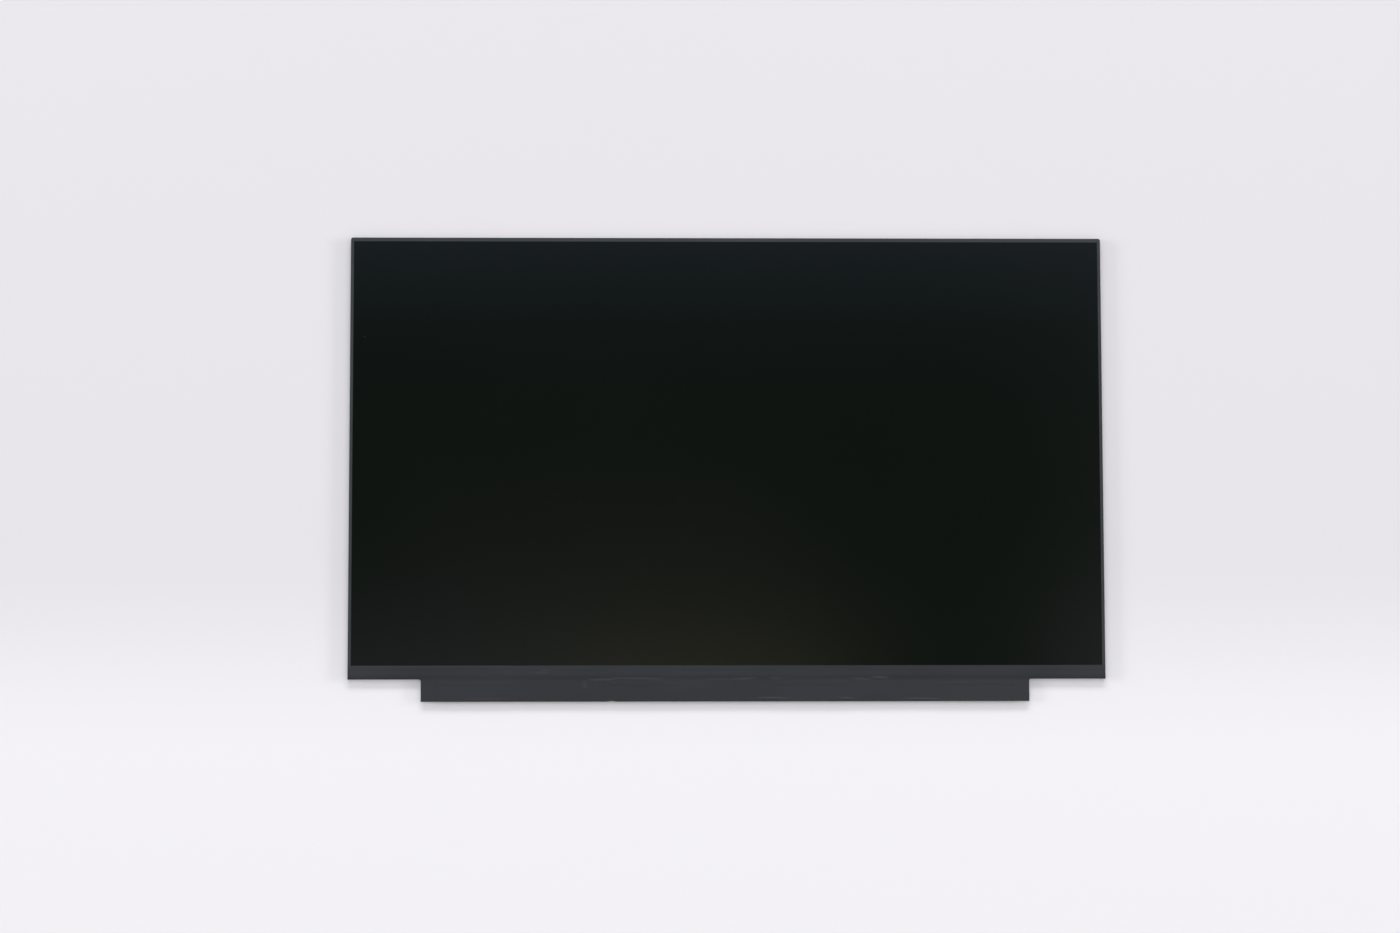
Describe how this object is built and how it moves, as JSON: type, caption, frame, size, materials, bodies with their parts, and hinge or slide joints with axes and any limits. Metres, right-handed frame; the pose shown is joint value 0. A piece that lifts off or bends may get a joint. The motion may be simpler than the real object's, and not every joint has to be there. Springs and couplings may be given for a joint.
{
  "type": "laptop screen panel",
  "caption": "Thin flat display panel: near-black matte screen with narrow taped edges, and below it a taped tab that holds the control board, with a cable socket at the rear.",
  "frame": {"origin": "middle of the outline, on the lowest face of the back plate, which the panel lies on", "axes": "+X to the viewer's right along the longer side, +Y to the picture's upper edge, +Z out of the screen"},
  "size_m": [0.3506, 0.2162, 0.0028],
  "materials": {
    "plate_metal": "satin pressed sheet",
    "frame_plastic": "fine moulded",
    "reflector_white": "white film",
    "guide_acrylic": "clear, polished",
    "film_white": "translucent film",
    "polariser": "anti-glare, near black",
    "cell_glass": "polished thin glass",
    "black_tape": "matte black film",
    "flex_film": "amber circuit film",
    "board_mask": "green solder mask",
    "chip_black": "moulded package",
    "silicon": "bare polished chip",
    "ceramic": "fired ceramic with tinned ends",
    "ferrite": "moulded powder core",
    "socket_plastic": "moulded",
    "contact_gold": "gold plated",
    "shell_steel": "nickel plated sheet",
    "diode_body": "white body, yellow window"
  },
  "bodies": {
    "root": {"back_plate": "plate_metal", "mould_frame": "frame_plastic", "reflector_sheet": "reflector_white", "light_guide": "guide_acrylic", "lower_diffuser": "film_white", "lower_prism_film": "film_white", "upper_prism_film": "film_white", "upper_diffuser": "film_white", "rear_polariser": "polariser", "front_polariser": "polariser", "array_glass": "cell_glass", "colour_filter_glass": "cell_glass", "rim_tape": "black_tape", "top_edge_tape": "black_tape", "left_edge_tape": "black_tape", "right_edge_tape": "black_tape", "cover_tape": "black_tape", "led_flex": "flex_film", "source_flex_1": "flex_film", "source_flex_2": "flex_film", "source_flex_3": "flex_film", "source_flex_4": "flex_film", "control_board": "board_mask", "timing_controller": "chip_black", "memory_chip": "chip_black", "power_chip": "chip_black", "led_driver_chip": "chip_black", "rectifier_diode": "chip_black", "source_driver_1": "silicon", "source_driver_2": "silicon", "source_driver_3": "silicon", "source_driver_4": "silicon", "ceramic_capacitors": "ceramic", "bulk_capacitors": "ceramic", "chip_resistors": "ceramic", "power_inductors": "ferrite", "signal_socket_housing": "socket_plastic", "signal_socket_contacts": "contact_gold", "signal_socket_shell": "shell_steel", "backlight_leds": "diode_body"}
  },
  "joints": []
}
